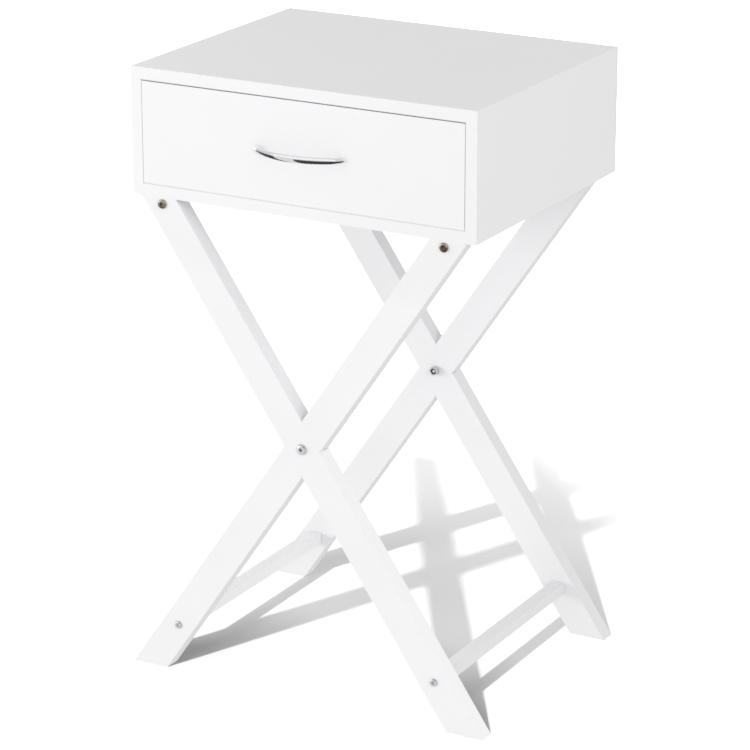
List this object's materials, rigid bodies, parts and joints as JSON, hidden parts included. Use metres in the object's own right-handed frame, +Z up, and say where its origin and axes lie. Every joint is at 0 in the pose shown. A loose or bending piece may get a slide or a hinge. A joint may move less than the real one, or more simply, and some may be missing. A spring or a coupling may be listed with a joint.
{
  "type": "side table",
  "caption": "Small rectangular side table with a drawer in its box top, standing on a rigid crossed-leg frame at the front and back.",
  "frame": {"origin": "on the floor, at the middle of the object's bounding box in X and Y", "axes": "+X to the right seen from the front, +Y from the front (drawer side) to the back, +Z up"},
  "size_m": [0.4256, 0.3449, 0.664],
  "materials": {
    "white_lacquer": "smooth white satin lacquer on board and wood",
    "white_board": "white melamine film on board",
    "chrome": "polished chrome plate",
    "bronze": "dark bronze plate",
    "zinc": "bright zinc plate",
    "white_steel": "white powder coat on folded steel",
    "nylon": "off-white nylon"
  },
  "bodies": {
    "table": {"back_panel": "white_lacquer", "bottom_panel": "white_lacquer", "cabinet_left_front_runner_screw": "zinc", "cabinet_left_rear_runner_screw": "zinc", "cabinet_left_runner": "white_steel", "cabinet_right_front_runner_screw": "zinc", "cabinet_right_rear_runner_screw": "zinc", "cabinet_right_runner": "white_steel", "front_cross_bolt": "zinc", "front_cross_nut": "zinc", "front_left_foot_screw": "zinc", "front_left_top_bolt": "bronze", "front_leg_a": "white_lacquer", "front_leg_b": "white_lacquer", "front_right_foot_screw": "zinc", "front_right_top_bolt": "bronze", "left_front_rail_screw": "zinc", "left_rail": "white_lacquer", "left_rear_rail_screw": "zinc", "left_side_panel": "white_lacquer", "left_stretcher": "white_lacquer", "rear_cross_bolt": "zinc", "rear_cross_nut": "zinc", "rear_left_foot_screw": "zinc", "rear_left_top_bolt": "bronze", "rear_leg_a": "white_lacquer", "rear_leg_b": "white_lacquer", "rear_right_foot_screw": "zinc", "rear_right_top_bolt": "bronze", "right_front_rail_screw": "zinc", "right_rail": "white_lacquer", "right_rear_rail_screw": "zinc", "right_side_panel": "white_lacquer", "right_stretcher": "white_lacquer", "top_panel": "white_lacquer"},
    "drawer": {"drawer_back": "white_board", "drawer_base": "white_board", "drawer_front": "white_lacquer", "drawer_left_front_runner_screw": "zinc", "drawer_left_rear_runner_screw": "zinc", "drawer_left_runner": "white_steel", "drawer_left_side": "white_board", "drawer_pull": "chrome", "drawer_right_front_runner_screw": "zinc", "drawer_right_rear_runner_screw": "zinc", "drawer_right_runner": "white_steel", "drawer_right_side": "white_board", "pull_left_screw": "zinc", "pull_right_screw": "zinc"},
    "cabinet_roller_left": {"cabinet_left_roller": "nylon"},
    "cabinet_roller_right": {"cabinet_right_roller": "nylon"},
    "drawer_roller_left": {"drawer_left_roller": "nylon"},
    "drawer_roller_right": {"drawer_right_roller": "nylon"}
  },
  "joints": [
    {"name": "drawer_slide", "type": "slide", "parent": "table", "child": "drawer", "axis": [0, -1, 0], "range_m": [0, 0.225]},
    {"name": "cabinet_roller_left_spin", "type": "hinge", "parent": "table", "child": "cabinet_roller_left", "pos_m": [-0.18, -0.1225, 0.5648], "axis": [1, 0, 0], "range_deg": [0, 1720]},
    {"name": "cabinet_roller_right_spin", "type": "hinge", "parent": "table", "child": "cabinet_roller_right", "pos_m": [0.18, -0.1225, 0.5648], "axis": [1, 0, 0], "range_deg": [0, 1720]},
    {"name": "drawer_roller_left_spin", "type": "hinge", "parent": "drawer", "child": "drawer_roller_left", "pos_m": [-0.18, 0.1225, 0.5643], "axis": [1, 0, 0], "range_deg": [0, 1720]},
    {"name": "drawer_roller_right_spin", "type": "hinge", "parent": "drawer", "child": "drawer_roller_right", "pos_m": [0.18, 0.1225, 0.5643], "axis": [1, 0, 0], "range_deg": [0, 1720]}
  ],
  "couplings": [
    {"joint": "cabinet_roller_left_spin", "follows": "drawer_slide", "rad_per_m": 133.33},
    {"joint": "cabinet_roller_right_spin", "follows": "drawer_slide", "rad_per_m": 133.33},
    {"joint": "drawer_roller_left_spin", "follows": "drawer_slide", "rad_per_m": 133.33},
    {"joint": "drawer_roller_right_spin", "follows": "drawer_slide", "rad_per_m": 133.33}
  ]
}
